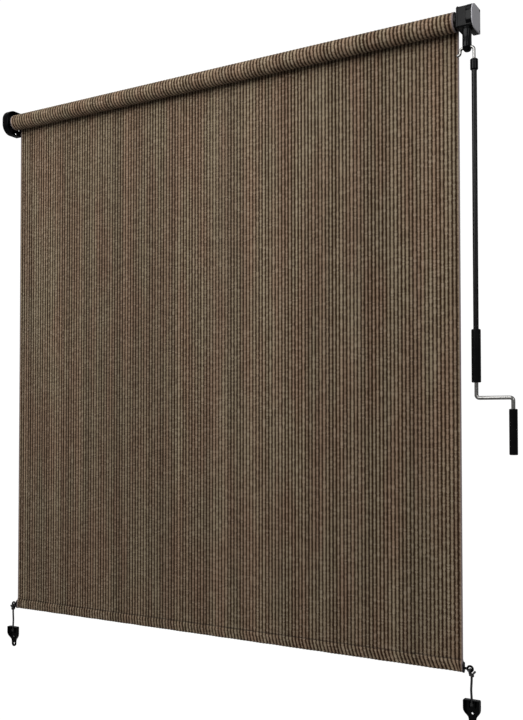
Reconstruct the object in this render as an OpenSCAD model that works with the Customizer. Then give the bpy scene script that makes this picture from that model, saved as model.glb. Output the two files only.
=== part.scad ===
// Outdoor roller shade: a ribbed knit cloth on a crank-driven roller between two wall brackets,
// with a weighted hem, elastic tie-downs and a hanging crank.
// Millimetres, +Z up, +X towards the crank, +Y into the wall. The origin is on the wall plane,
// at the height of the roller's axis, midway between the two brackets' screw holes.

/* [Cloth] */
// Width of the cloth
cloth_w = 1740; // [1200:12:2400]
// Drop from the roller's axis to the lower edge of the hem
drop = 1856; // [1500:1:2600]
// Thickness of the knit between its ribs
cloth_t = 0.8; // [0.6:0.1:1.2]
// Spacing of the knitted ribs
rib_pitch = 12; // [11:0.5:20]
// Width of one rib
rib_w = 7; // [5:0.5:9]
// Height of a rib above the knit
rib_h = 0.5; // [0.3:0.1:0.7]
// Turns of cloth that stay on the tube when the shade is down
roll_turns = 3; // [2:1:5]

/* [Roller] */
// Outer diameter of the roller tube
tube_d = 48; // [44:1:52]
// Wall of the roller tube
tube_wall = 1.6; // [1.2:0.1:2.4]
// Distance of the roller's axis from the wall
axis_y = 38; // [38:0.5:42]
// Diameter of the idler pin that carries the free end
idler_pin_d = 10; // [8:0.5:12]

/* [Brackets] */
// Height of both end brackets
bracket_h = 92; // [90:1:104]
// Depth of both brackets from the wall
bracket_d = 76; // [75:1:84]
// Radius of the front corners of a bracket
bracket_corner = 30; // [20:1:34]
// Thickness of the bracket walls
bracket_wall = 3; // [2.5:0.1:3.5]
// Width of the idler end, from the cloth's edge to the bracket's outer face
idler_end_w = 32; // [30:1:40]
// Width of the crank end, from the cloth's edge to the end plate's outer face
crank_end_w = 60; // [59:1:66]
// Diameter of the screw holes in the rear walls
wall_hole_d = 5.5; // [4.5:0.1:6]
// Height between the two rear screw holes
wall_hole_gap = 36; // [30:1:40]
// Diameter of the screw holes in the side plates
side_hole_d = 7; // [5:0.1:7]
// Height between the two side screw holes
side_hole_gap = 60; // [56:1:64]

/* [Gear box] */
// Height of the gear housing
housing_h = 62; // [60:1:68]
// Wall of the gear housing
housing_wall = 2.5; // [2:0.1:3]
// Teeth on each of the two screw gears
gear_teeth = 10; // [8:1:12]
// Pitch radius of each screw gear
gear_r = 9; // [8.5:0.1:9.4]
// Face width of each screw gear
gear_w = 14; // [10:1:15]
// Diameter of the shafts through the gears
shaft_d = 10; // [8:0.5:10]

/* [Crank] */
// Diameter of the hook's wire
hook_d = 8.5; // [6:0.5:9]
// Sideways distance from the eye's axis to the pole's axis
hook_reach = 20; // [19:0.5:26]
// Outer diameter of the pole
pole_d = 15; // [13:0.5:17]
// Visible length of the pole, from its collar to its sleeve
pole_len = 731; // [400:1:1100]
// Outer diameter of the turning sleeve on the pole
sleeve_d = 26; // [24:0.5:30]
// Length of the turning sleeve
sleeve_len = 149; // [100:1:200]
// Diameter of the cranked rod
rod_d = 11; // [9:0.5:11]
// Length of the crank arm, from rod axis to rod axis
arm_len = 102; // [80:1:160]
// Outer diameter of the hand grip
grip_d = 23; // [21:0.5:30]
// Length of the hand grip
grip_len = 126; // [90:1:160]

/* [Hem and tie-downs] */
// Height of the flat oval hem bar
bar_h = 26; // [22:1:30]
// Thickness of the hem bar
bar_t = 10; // [9:0.5:12]
// Height of the sewn hem
hem_h = 36; // [34:1:44]
// Diameter of the elastic cord
cord_d = 6.5; // [5:0.5:7]
// Width of the wall anchor
anchor_w = 48; // [40:1:60]
// Height of the wall anchor
anchor_h = 76; // [70:1:90]
// Depth of the wall anchor from the wall
anchor_d = 16; // [15:0.5:20]
// Diameter of the anchor's screw holes
anchor_hole_d = 7; // [5:0.5:7]
// Height between the anchor's screw holes
anchor_hole_gap = 25; // [22:1:28]

/* [Hidden] */
$fn = 64;

// Clearances
run_gap = 0.05; // radial clearance of a turning fit
seat_gap = 0.02; // radial clearance of a fixed round fit
face_gap = 0.3; // clearance between faces that pass each other
cut = 1; // how far a cutting shape runs past the wall it cuts

// Cloth
tube_r = tube_d / 2;
turn_t = cloth_t + rib_h / 2 - 0.05; // one turn of cloth, pressed flat
roll_r = tube_r + roll_turns * turn_t; // over the ribs
roll_base = roll_r - rib_h;
panel_gap = 0.5; // between the roll and the turn that leaves it
panel_r = roll_r + panel_gap + rib_h + cloth_t / 2; // roller axis to the middle of the hanging cloth
panel_y = panel_r - axis_y;
rib_slope = 1.2; // run of a rib's flank
rib_n = floor(cloth_w / rib_pitch);
rib_margin = (cloth_w - rib_n * rib_pitch) / 2;
turn_notch = 0.12; // half width of the line between two turns
turn_notch_d = 2.5; // depth of that line

// Places along the roller
overall_w = idler_end_w + cloth_w + crank_end_w;
left_x = -overall_w / 2;
right_x = overall_w / 2;
cloth_x0 = left_x + idler_end_w;
cloth_x1 = right_x - crank_end_w;
tube_over = 3; // tube past the cloth's edge
plug_flange_t = 3;
plug_len = 40; // plug inside the tube
plug_core_r = tube_r - 9.5;
plug_rib_t = 4;
plug_ribs = 8;

// Brackets
end_plate_t = 3;
plate_x1 = right_x - end_plate_t; // outer face of the crank bracket
plate_x0 = plate_x1 - bracket_wall;
crank_rim = 14; // depth of the crank bracket's rim inside its plate
idler_cup = 27; // depth of the idler bracket
hole_inset = 13; // rear holes from the outer faces
side_hole_y = -7;
boss_r = 12;
boss_len = 6;
pin_flange_r = 8;
pin_flange_t = 3;
idler_pin_r = idler_pin_d / 2;
idler_pin_x1 = cloth_x0 + 28;
bush_wall = 2;
bush_flange_t = 2;

// Gear box
housing_gap = 12; // cloth's edge to the housing
housing_x0 = cloth_x1 + housing_gap;
cover_t = 3;
cover_x0 = plate_x0 - cover_t;
gear_tip_r = gear_r + 1.27;
gear_root_r = gear_r - 1.59;
gear_clear = 2.2; // gear tips to the housing's walls
eye_x = cover_x0 - gear_clear - gear_tip_r; // crank axis
eye_y = -axis_y - 2 * gear_r;
housing_front = eye_y - gear_tip_r - gear_clear + 0.5 - housing_wall;
housing_rear = -12;
housing_bevel = 7;
housing_low_bevel = 4;
housing_lip = 1.2;
housing_lip_w = 4;
shaft_r = shaft_d / 2;
gear_hub_r = 8;
drive_shaft_r = 8;
roller_bush_r = drive_shaft_r + bush_wall;
roller_boss_len = 8;
crank_bush_r = shaft_r + 4;
crank_bush_top = -16.2;
washer_t = 1.8;
hub_low = crank_bush_top + washer_t + 0.3;
screw_places = [[-axis_y, 24], [-axis_y, -24], [-18, 24], [-18, -24]];
screw_r = 2;
screw_head_r = 3.6;
screw_head_t = 2.4;
screw_boss_r = 4;
screw_len = 24;
helix_deg = 45;
gear_twist = gear_w / gear_r * 180 / PI * tan(helix_deg);
tooth_half_tip = 3.2 * 10 / gear_teeth; // half angles of one tooth
tooth_half_root = 12.2 * 10 / gear_teeth;
gear_slices = 10;
spring_wire_r = 0.9;
spring_turns = 4;
spring_steps = 16; // points on one turn of the spring

// Crank
eye_top = -housing_h / 2 - bush_flange_t - 1;
eye_neck_r = shaft_r + 6;
eye_bulb_r = eye_neck_r + 3;
eye_len = 66;
eye_notch = 2; // room round the eye in the bracket's rim
eye_flat = 20; // thickness of the eye along its hole
eye_hole_r = hook_d / 2 + 2.25;
eye_bar = 7.5; // material under the hole
eye_low = eye_top - eye_len;
eye_hole_z = eye_low + eye_bar + eye_hole_r;
eye_socket = 18;
pin_r = 1.5;
hook_r = hook_d / 2;
hook_z = eye_hole_z - eye_hole_r + hook_r + 0.2; // wire through the eye
hook_run = eye_flat / 2 + 1; // straight half of the wire in the eye
hook_bend = hook_reach - hook_run;
hook_tail = 3;
hook_curl = 7;
pole_x = eye_x + hook_reach;
pole_r = pole_d / 2;
pole_wall = 1.2;
collar_r = pole_r + 3.5;
collar_h = 32;
collar_chamfer = 2.5;
collar_top = hook_z - 36;
collar_low = collar_top - collar_h;
collar_shank = 13; // depth of the hook's shank in the collar
collar_seat = 14; // depth of the pole in the collar
collar_pin_z = collar_low + collar_seat / 2;
sleeve_top = collar_low - pole_len;
sleeve_low = sleeve_top - sleeve_len;
sleeve_r = sleeve_d / 2;
plug_flange_r = pole_r + 1.8;
plug_flange_h = 4;
pole_low = sleeve_low + plug_flange_h + 1;
end_plug_in = 40; // plug inside the pole
rod_r = rod_d / 2;
rod_bend = rod_r + 3;
rod_drop = 43; // sleeve to the arm's axis
arm_z = sleeve_low - rod_drop;
grip_x = pole_x + arm_len;
grip_r = grip_d / 2;
grip_top = arm_z - 31;
grip_low = grip_top - grip_len;
grip_recess = 5;
nut_r = rod_r + 2.3;
nut_t = 1.4;
edge_r = 2.5; // rounding of the moulded ends

// Hem and tie-downs
hem_z = -drop;
hem_cloth_t = cloth_t + rib_h;
bar_wall = 1.4;
bar_z = hem_z + hem_cloth_t + bar_h / 2;
hem_half = bar_t / 2 + hem_cloth_t;
neck_half = cloth_t / 2 + cloth_t;
cap_t = 3;
cap_over = 1.2; // end cap past the hem all round
cap_tongue = 30;
ring_major = 7.5;
ring_minor = 3.2;
ring_out = 17; // cap to the centre of the ring
ring_drop = 2; // ring below the middle of the bar
stem_r = 3.6;
cord_r = cord_d / 2;
loop_major = ring_minor + cord_r + face_gap;
knot_r = cord_r + 3.6;
knot_flat = 0.8; // share of the knot's radius where it is cut flat for the cord
knot_shift = 4; // knot outwards of the ring
knot_drop = ring_major + loop_major + 3.8;
tail_len = 12;
cord_route = [[0, 0, 0], [0, 0, -8], [-0.8, 0, -22], [-1.4, 0, -36], [-0.8, 0, -50], [0, 0, -64], [0, 0, -72]];
cord_sides = 10;
stop_r = cord_r + 2.2;
stop_depth = 10; // cord end below the anchor's top
anchor_plate_t = 3;
anchor_back = anchor_plate_t + stop_r + face_gap; // cord axis to the anchor's back
anchor_wall = 3;
anchor_side = anchor_h * 0.4; // height of the straight sides
anchor_tab_r = anchor_w * 0.23;
anchor_hole_z = anchor_h - anchor_tab_r - anchor_hole_gap; // top edge to the upper hole
anchor_ring_t = 3;

// Shapes laid along the roller: a flat shape in Y and Z, drawn out along X
module along_x(x0, x1) {
    translate([x0, 0, 0]) rotate([90, 0, 90]) linear_extrude(x1 - x0) children();
}

module x_cyl(x0, x1, r) {
    translate([x0, 0, 0]) rotate([0, 90, 0]) cylinder(h = x1 - x0, r = r);
}

module y_cyl(y0, y1, r) {
    translate([0, y1, 0]) rotate([90, 0, 0]) cylinder(h = y1 - y0, r = r);
}

module at_roller() {
    translate([0, -axis_y, 0]) children();
}

module at_eye() {
    translate([eye_x, eye_y, 0]) children();
}

function backwards(list) = [for (i = [len(list) - 1:-1:0]) list[i]];

// Outline of a rib row: places along the cloth, from the knit's face to the ribs' crests
function rib_row(base, crest) = [
    for (i = [0:rib_n - 1])
        let (x = rib_margin + rib_pitch * (i + 0.5))
        each [
            [x - rib_w / 2, base], [x - rib_w / 2 + rib_slope, crest],
            [x + rib_w / 2 - rib_slope, crest], [x + rib_w / 2, base]
        ]
];

// A round tube swept along a route, as rings of points joined by quads
function unit(v) = v / norm(v);
function route_dir(route, i) = unit(route[min(i + 1, len(route) - 1)] - route[max(i - 1, 0)]);
function route_ring(route, i, r, sides) =
    let (d = route_dir(route, i), side = unit(cross([0.01, 1, 0.02], d)), up = cross(d, side))
    [for (k = [0:sides - 1]) route[i] + r * (cos(360 * k / sides) * side + sin(360 * k / sides) * up)];

module swept_tube(route, r, sides) {
    n = len(route);
    points = [for (i = [0:n - 1]) each route_ring(route, i, r, sides)];
    walls = [
        for (i = [0:n - 2], k = [0:sides - 1])
            let (next = (k + 1) % sides)
            [i * sides + k, (i + 1) * sides + k, (i + 1) * sides + next, i * sides + next]
    ];
    caps = [[for (k = [0:sides - 1]) k], [for (k = [sides - 1:-1:0]) (n - 1) * sides + k]];
    polyhedron(points, concat(walls, caps));
}

// A bend of round bar in the X-Z plane, from one angle to a larger one
module xz_bend(centre, bend, r, from, to) {
    translate([centre[0], 0, centre[1]]) rotate([90, 0, 0]) rotate([0, 0, from])
        rotate_extrude(angle = to - from) translate([bend, 0]) circle(r);
}

// D-shaped outline of a bracket, flat to the wall, drawn in by a distance
module bracket_outline(inset) {
    half = bracket_h / 2;
    front = -bracket_d + bracket_corner;
    translate([front, -half + inset]) square([-inset - front, bracket_h - 2 * inset]);
    translate([-bracket_d + inset, bracket_corner - half])
        square([bracket_corner, bracket_h - 2 * bracket_corner]);
    for (side = [-1, 1]) translate([front, side * (half - bracket_corner)]) circle(bracket_corner - inset);
}

module wall_holes(x) {
    for (side = [-1, 1])
        translate([x, 0, side * wall_hole_gap / 2]) y_cyl(-bracket_wall - cut, cut, wall_hole_d / 2);
}

module side_holes(x0, x1) {
    for (side = [-1, 1])
        translate([0, side_hole_y, side * side_hole_gap / 2]) x_cyl(x0 - cut, x1 + cut, side_hole_d / 2);
}

module idler_bracket() {
    color([0.05, 0.05, 0.055]) difference() {
        union() {
            difference() {
                along_x(left_x, left_x + idler_cup) bracket_outline(0);
                along_x(left_x + bracket_wall, left_x + idler_cup + cut) bracket_outline(bracket_wall);
            }
            at_roller() x_cyl(left_x, left_x + bracket_wall + boss_len, boss_r);
        }
        at_roller() x_cyl(left_x - cut, left_x + bracket_wall + boss_len + cut, idler_pin_r + seat_gap);
        wall_holes(left_x + hole_inset);
        side_holes(left_x, left_x + bracket_wall);
    }
}

module idler_pin() {
    flange_x = left_x + bracket_wall + boss_len;
    color([0.7, 0.7, 0.72]) at_roller() {
        x_cyl(left_x + 0.5, idler_pin_x1, idler_pin_r);
        x_cyl(flange_x, flange_x + pin_flange_t, pin_flange_r);
    }
}

module crank_bracket() {
    color([0.05, 0.05, 0.055]) difference() {
        along_x(plate_x0 - crank_rim, plate_x1) bracket_outline(0);
        along_x(plate_x0 - crank_rim - cut, plate_x0) bracket_outline(bracket_wall);
        wall_holes(right_x - hole_inset);
        side_holes(plate_x0, plate_x1);
        at_eye() translate([0, 0, -bracket_h / 2 - cut]) cylinder(h = (bracket_h - housing_h) / 2 + 2 * cut, r = eye_bulb_r + eye_notch);
        for (place = screw_places) translate([0, place[0], place[1]]) {
            x_cyl(plate_x0 - cut, plate_x1 + cut, screw_r + run_gap);
            x_cyl(plate_x1 - screw_head_t - seat_gap, plate_x1 + cut, screw_head_r + face_gap);
        }
    }
}

module crank_end_plate() {
    color([0.5, 0.5, 0.51]) difference() {
        along_x(plate_x1, right_x) bracket_outline(0);
        side_holes(plate_x1, right_x);
    }
}

// Section of the gear housing: a box with bevelled edges, deeper bevels at the front
module housing_outline(inset) {
    front = housing_front + inset;
    rear = housing_rear - inset;
    half = housing_h / 2 - inset;
    rear_bevel = 3;
    polygon([
        [front + housing_bevel, half], [front, half - housing_bevel],
        [front, housing_low_bevel - half], [front + housing_low_bevel, -half],
        [rear - rear_bevel, -half], [rear, rear_bevel - half], [rear, half - rear_bevel], [rear - rear_bevel, half]
    ]);
}

module gear_housing() {
    inner_top = housing_h / 2 - housing_wall;
    bearing_len = 10;
    color([0.06, 0.06, 0.065]) difference() {
        union() {
            difference() {
                union() {
                    along_x(housing_x0, cover_x0) housing_outline(0);
                    along_x(housing_x0, housing_x0 + housing_lip_w) housing_outline(-housing_lip);
                }
                along_x(housing_x0 + housing_wall, cover_x0 + cut) housing_outline(housing_wall);
            }
            at_roller() x_cyl(housing_x0, housing_x0 + roller_boss_len, boss_r + 1);
            at_eye() translate([0, 0, inner_top - bearing_len]) cylinder(h = bearing_len + cut, r = gear_hub_r);
            for (place = screw_places)
                translate([0, place[0], place[1]]) x_cyl(housing_x0 + cut, cover_x0, screw_boss_r);
        }
        at_roller() x_cyl(housing_x0 - cut, housing_x0 + roller_boss_len + cut, roller_bush_r + seat_gap);
        at_eye() translate([0, 0, inner_top - bearing_len - cut]) cylinder(h = bearing_len, r = shaft_r + run_gap);
        at_eye() translate([0, 0, -housing_h / 2 - cut])
            cylinder(h = 2 * housing_wall + 3 * cut, r = crank_bush_r + seat_gap);
        for (place = screw_places)
            translate([0, place[0], place[1]]) x_cyl(cover_x0 - screw_len, cover_x0 + cut, screw_r + run_gap);
    }
}

module gear_cover() {
    color([0.06, 0.06, 0.065]) difference() {
        along_x(cover_x0, plate_x0) housing_outline(0);
        for (place = screw_places)
            translate([0, place[0], place[1]]) x_cyl(cover_x0 - cut, plate_x0 + cut, screw_r + run_gap);
    }
}

module gear_box_screws() {
    color([0.6, 0.6, 0.62]) for (place = screw_places) translate([0, place[0], place[1]]) {
        x_cyl(plate_x1 - screw_head_t, plate_x1, screw_head_r);
        x_cyl(cover_x0 - screw_len + cut, plate_x1 - screw_head_t, screw_r);
    }
}

module crank_shaft_bush() {
    low = -housing_h / 2 - bush_flange_t;
    color([0.8, 0.78, 0.7]) at_eye() difference() {
        union() {
            translate([0, 0, low]) cylinder(h = crank_bush_top - low, r = crank_bush_r);
            translate([0, 0, low]) cylinder(h = bush_flange_t, r = crank_bush_r + 3);
        }
        translate([0, 0, low - cut]) cylinder(h = crank_bush_top - low + 2 * cut, r = shaft_r + run_gap);
    }
}

module thrust_washer() {
    color([0.75, 0.6, 0.3]) at_eye() translate([0, 0, crank_bush_top]) difference() {
        cylinder(h = washer_t, r = crank_bush_r);
        translate([0, 0, -cut]) cylinder(h = washer_t + 2 * cut, r = shaft_r + run_gap);
    }
}

// Wrap spring that grips the bush and holds the shade where the crank leaves it
module brake_spring() {
    coil_r = (crank_bush_r + spring_wire_r + 2 * run_gap) / cos(180 / spring_steps);
    pitch = 2 * spring_wire_r + 0.1;
    low = -housing_h / 2 + housing_wall + housing_low_bevel;
    route = [
        for (i = [0:spring_turns * spring_steps])
            let (a = 360 * i / spring_steps)
            [coil_r * cos(a), coil_r * sin(a), low + pitch * i / spring_steps]
    ];
    color([0.6, 0.6, 0.6]) at_eye() swept_tube(route, spring_wire_r, 6);
}

module roller_bush() {
    x0 = housing_x0 - bush_flange_t;
    x1 = housing_x0 + roller_boss_len;
    color([0.8, 0.78, 0.7]) at_roller() difference() {
        union() {
            x_cyl(x0, x1, roller_bush_r);
            x_cyl(x0, housing_x0, roller_bush_r + bush_wall);
        }
        x_cyl(x0 - cut, x1 + cut, drive_shaft_r + run_gap);
    }
}

// Channel in the roller tube that holds the cloth's edge bead
key_r = 3.2;
key_slot = 2.6;
key_wall = 1.4;
key_z = tube_r - key_r - 1;

module roller_tube() {
    color([0.75, 0.76, 0.77]) at_roller() along_x(cloth_x0 - tube_over, cloth_x1 + tube_over) difference() {
        union() {
            difference() {
                circle(tube_r);
                circle(tube_r - tube_wall);
            }
            intersection() {
                circle(tube_r);
                translate([0, key_z]) circle(key_r + key_wall);
            }
        }
        translate([0, key_z]) circle(key_r);
        translate([-key_slot / 2, key_z]) square([key_slot, tube_r]);
    }
}

module cloth_spline() {
    color([0.85, 0.85, 0.83]) at_roller() translate([0, 0, key_z]) x_cyl(cloth_x0, cloth_x1, key_r - 0.2);
}

// Ribbed plug that fits a tube's end: a core, ribs that reach the tube, and a flange outside it
module tube_plug(x_in, x_flange, x_out) {
    rib_reach = tube_r - tube_wall - 0.1;
    x_cyl(min(x_in, x_flange), max(x_in, x_flange), plug_core_r);
    x_cyl(min(x_flange, x_out), max(x_flange, x_out), tube_r);
    for (i = [0:plug_ribs - 1]) rotate([360 / plug_ribs * (i + 0.5), 0, 0])
        translate([min(x_in, x_flange), -plug_rib_t / 2, 0])
            cube([abs(x_flange - x_in), plug_rib_t, rib_reach]);
}

module drive_plug() {
    edge = cloth_x1 + tube_over;
    shaft_x = housing_x0 + roller_boss_len + face_gap;
    color([0.08, 0.08, 0.085]) at_roller() difference() {
        union() {
            tube_plug(edge - plug_len, edge, edge + plug_flange_t);
            x_cyl(edge, shaft_x, drive_shaft_r);
            x_cyl(edge, eye_x + gear_w / 2, shaft_r);
        }
        plug_screw_holes(edge - plug_len / 2);
    }
}

module idler_plug() {
    edge = cloth_x0 - tube_over;
    bore = idler_pin_r + bush_wall + seat_gap;
    color([0.08, 0.08, 0.085]) at_roller() difference() {
        tube_plug(edge + plug_len, edge, edge - plug_flange_t);
        x_cyl(edge - plug_flange_t - cut, edge + plug_len + cut, bore);
        plug_screw_holes(edge + plug_len / 2);
    }
}

module idler_bush() {
    x0 = cloth_x0 - tube_over - plug_flange_t - bush_flange_t;
    x1 = cloth_x0 - tube_over + plug_len - 8;
    color([0.85, 0.84, 0.8]) at_roller() difference() {
        union() {
            x_cyl(x0, x1, idler_pin_r + bush_wall);
            x_cyl(x0, x0 + bush_flange_t, idler_pin_r + bush_wall + 3);
        }
        x_cyl(x0 - cut, x1 + cut, idler_pin_r + run_gap);
    }
}

// Screws that hold the tube on its two plugs, under the cloth
plug_screw_r = 2;
plug_screw_z0 = -tube_r + tube_wall + face_gap;
plug_screw_z1 = -plug_core_r + 4;

module plug_screw_holes(x) {
    translate([x, 0, plug_screw_z0 - cut]) cylinder(h = plug_screw_z1 - plug_screw_z0 + cut, r = plug_screw_r + seat_gap);
}

module plug_screws() {
    color([0.6, 0.6, 0.62]) at_roller() for (x = [cloth_x0 - tube_over + plug_len / 2, cloth_x1 + tube_over - plug_len / 2])
        translate([x, 0, plug_screw_z0]) cylinder(h = plug_screw_z1 - plug_screw_z0, r = plug_screw_r);
}

// Wound cloth: ribs around the outside, and the lines between its turns on both ends
module shade_roll() {
    bore = tube_r + seat_gap;
    notches = [
        for (k = [1:roll_turns - 1])
            let (r = tube_r + k * turn_t)
            each [[r - turn_notch, 0], [r, turn_notch_d], [r + turn_notch, 0]]
    ];
    far_notches = [for (p = backwards(notches)) [p[0], cloth_w - p[1]]];
    ribs = [for (p = rib_row(roll_base, roll_r)) [p[1], p[0]]];
    outline = concat([[bore, 0]], notches, [[roll_base, 0]], ribs, [[roll_base, cloth_w]], far_notches, [[bore, cloth_w]]);
    color([0.33, 0.27, 0.22]) at_roller() translate([cloth_x0, 0, 0]) rotate([0, 90, 0]) rotate_extrude() polygon(outline);
}

// Section of the hanging cloth: a knit with ribs on both faces
module cloth_section(half) {
    polygon(concat(
        [[0, -half]], rib_row(-half, -half - rib_h), [[cloth_w, -half], [cloth_w, half]],
        backwards(rib_row(half, half + rib_h)), [[0, half]]
    ));
}

module shade_panel() {
    low = hem_z + hem_h;
    color([0.33, 0.27, 0.22]) translate([cloth_x0, panel_y, low]) linear_extrude(-low) cloth_section(cloth_t / 2);
}

// Screw gear with straight-sided teeth wound at 45 degrees, centred on its axis
module screw_gear() {
    teeth = [
        for (i = [0:gear_teeth - 1])
            let (a = 360 * i / gear_teeth)
            each [
                gear_root_r * [cos(a - tooth_half_root), sin(a - tooth_half_root)],
                gear_tip_r * [cos(a - tooth_half_tip), sin(a - tooth_half_tip)],
                gear_tip_r * [cos(a + tooth_half_tip), sin(a + tooth_half_tip)],
                gear_root_r * [cos(a + tooth_half_root), sin(a + tooth_half_root)]
            ]
    ];
    linear_extrude(gear_w, center = true, twist = -gear_twist, slices = gear_slices) polygon(teeth);
}

// A tooth of one gear stands in a gap of the other where their pitch circles meet
crank_gear_turn = 90;
roller_gear_turn = -90 + 180 / gear_teeth;

module roller_gear() {
    hub_x = housing_x0 + roller_boss_len + face_gap;
    color([0.85, 0.84, 0.8]) at_roller() difference() {
        union() {
            translate([eye_x, 0, 0]) rotate([0, 90, 0]) rotate([0, 0, roller_gear_turn]) screw_gear();
            x_cyl(hub_x, eye_x - gear_w / 2, gear_hub_r - 1);
        }
        x_cyl(hub_x - cut, eye_x + gear_w, shaft_r + seat_gap);
    }
}

module crank_gear() {
    color([0.85, 0.84, 0.8]) at_eye() difference() {
        union() {
            rotate([0, 0, crank_gear_turn]) screw_gear();
            translate([0, 0, hub_low]) cylinder(h = -gear_w / 2 - hub_low, r = gear_hub_r - 1);
        }
        translate([0, 0, hub_low - cut]) cylinder(h = gear_w - hub_low, r = shaft_r + seat_gap);
    }
}

module crank_shaft() {
    low = eye_top - eye_socket + 1;
    top = housing_h / 2 - housing_wall - 2;
    color([0.7, 0.7, 0.72]) at_eye() difference() {
        translate([0, 0, low]) cylinder(h = top - low, r = shaft_r);
        translate([0, 0, eye_top - eye_socket / 2]) y_cyl(-shaft_r - cut, shaft_r + cut, pin_r + seat_gap);
    }
}

// Moulded eye: a pear-shaped drop, flattened across its hole
module crank_eye() {
    shoulder = eye_top - eye_len / 3;
    widest = eye_top - eye_len / 2;
    color([0.05, 0.05, 0.055]) at_eye() difference() {
        intersection() {
            rotate_extrude() polygon(concat(
                [
                    [0, eye_top], [eye_neck_r - 1, eye_top], [eye_neck_r, eye_top - 1],
                    [eye_neck_r, shoulder], [eye_bulb_r, widest]
                ],
                [
                    for (a = [0:10:90])
                        [eye_bulb_r * cos(a), eye_low + eye_bulb_r * (1 - sin(a))]
                ]
            ));
            translate([-eye_flat / 2, -eye_bulb_r - cut, eye_low - cut])
                cube([eye_flat, 2 * eye_bulb_r + 2 * cut, eye_len + 2 * cut]);
        }
        translate([0, 0, eye_hole_z]) x_cyl(-eye_flat, eye_flat, eye_hole_r);
        translate([0, 0, eye_top - eye_socket]) cylinder(h = eye_socket + cut, r = shaft_r + seat_gap);
        translate([0, 0, eye_top - eye_socket / 2]) y_cyl(-eye_bulb_r, eye_bulb_r, pin_r + seat_gap);
    }
}

module eye_pin() {
    color([0.7, 0.7, 0.72]) at_eye() translate([0, 0, eye_top - eye_socket / 2])
        y_cyl(-eye_neck_r + 0.5, eye_neck_r - 0.5, pin_r);
}

// Hook: a straight run through the eye, a bend down to the collar, and a tail that curls outwards
module crank_hook() {
    tail_z = hook_z - hook_bend - hook_tail;
    shank_low = collar_top - collar_shank;
    color([0.75, 0.75, 0.76]) at_eye() {
        translate([0, 0, hook_z]) x_cyl(-hook_run, hook_run, hook_r);
        xz_bend([hook_run, hook_z - hook_bend], hook_bend, hook_r, 0, 90);
        translate([hook_reach, 0, shank_low]) cylinder(h = hook_z - hook_bend - shank_low, r = hook_r);
        xz_bend([-hook_run, hook_z - hook_bend], hook_bend, hook_r, 90, 180);
        translate([-hook_reach, 0, tail_z]) cylinder(h = hook_tail, r = hook_r);
        xz_bend([-hook_reach - hook_curl, tail_z], hook_curl, hook_r, -90, 0);
        translate([-hook_reach - hook_curl, 0, tail_z - hook_curl]) rotate([0, -90, 0])
            rotate_extrude() intersection() {
                circle(hook_r);
                square(hook_r);
            }
    }
}

module at_pole() {
    translate([pole_x, eye_y, 0]) children();
}

module hook_collar() {
    groove_z = collar_top - 2 * collar_chamfer - 1;
    color([0.05, 0.05, 0.055]) at_pole() difference() {
        rotate_extrude() polygon([
            [0, collar_low], [collar_r - collar_chamfer, collar_low], [collar_r, collar_low + collar_chamfer],
            [collar_r, groove_z - 1], [collar_r - 0.8, groove_z - 0.5], [collar_r - 0.8, groove_z + 0.5],
            [collar_r, groove_z + 1], [collar_r, collar_top - collar_chamfer],
            [collar_r - collar_chamfer, collar_top], [0, collar_top]
        ]);
        translate([0, 0, collar_top - collar_shank]) cylinder(h = collar_shank + cut, r = hook_r + seat_gap);
        translate([0, 0, collar_low - cut]) cylinder(h = collar_seat + cut, r = pole_r + seat_gap);
        translate([0, 0, collar_pin_z]) y_cyl(-collar_r - cut, collar_r + cut, pin_r + seat_gap);
    }
}

module collar_pin() {
    color([0.7, 0.7, 0.72]) at_pole() translate([0, 0, collar_pin_z])
        y_cyl(-collar_r + 0.3, collar_r - 0.3, pin_r);
}

module crank_pole() {
    top = collar_low + collar_seat;
    color([0.06, 0.06, 0.06]) at_pole() difference() {
        translate([0, 0, pole_low]) cylinder(h = top - pole_low, r = pole_r);
        translate([0, 0, pole_low - cut]) cylinder(h = top - pole_low + 2 * cut, r = pole_r - pole_wall);
        translate([0, 0, collar_pin_z]) y_cyl(-pole_r - cut, pole_r + cut, pin_r + seat_gap);
    }
}

// Plug in the pole's lower end: it holds the rod, and its flange carries the sleeve
module pole_end_plug() {
    low = pole_low - plug_flange_h;
    color([0.07, 0.07, 0.07]) at_pole() difference() {
        union() {
            translate([0, 0, low]) cylinder(h = plug_flange_h, r = plug_flange_r);
            translate([0, 0, low]) cylinder(h = plug_flange_h + end_plug_in, r = pole_r - pole_wall - seat_gap);
        }
        translate([0, 0, low - cut]) cylinder(h = plug_flange_h + end_plug_in + 2 * cut, r = rod_r + seat_gap);
    }
}

// Cranked rod: down out of the pole, across the arm, and down again into the grip
module crank_rod() {
    top = pole_low + end_plug_in - 2;
    low = grip_low + grip_recess - nut_t - 1;
    color([0.75, 0.75, 0.76]) at_pole() {
        translate([0, 0, arm_z + rod_bend]) cylinder(h = top - arm_z - rod_bend, r = rod_r);
        xz_bend([rod_bend, arm_z + rod_bend], rod_bend, rod_r, 180, 270);
        translate([0, 0, arm_z]) x_cyl(rod_bend, arm_len - rod_bend, rod_r);
        xz_bend([arm_len - rod_bend, arm_z - rod_bend], rod_bend, rod_r, 0, 90);
        translate([arm_len, 0, low]) cylinder(h = arm_z - rod_bend - low, r = rod_r);
    }
}

module at_grip() {
    translate([grip_x, eye_y, 0]) children();
}

// Ring pressed on the end of the rod, in the recess of the grip
module grip_push_nut() {
    color([0.7, 0.7, 0.72]) at_grip() translate([0, 0, grip_low + grip_recess - face_gap - nut_t]) difference() {
        cylinder(h = nut_t, r = nut_r);
        translate([0, 0, -cut]) cylinder(h = nut_t + 2 * cut, r = rod_r + seat_gap);
    }
}

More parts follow.
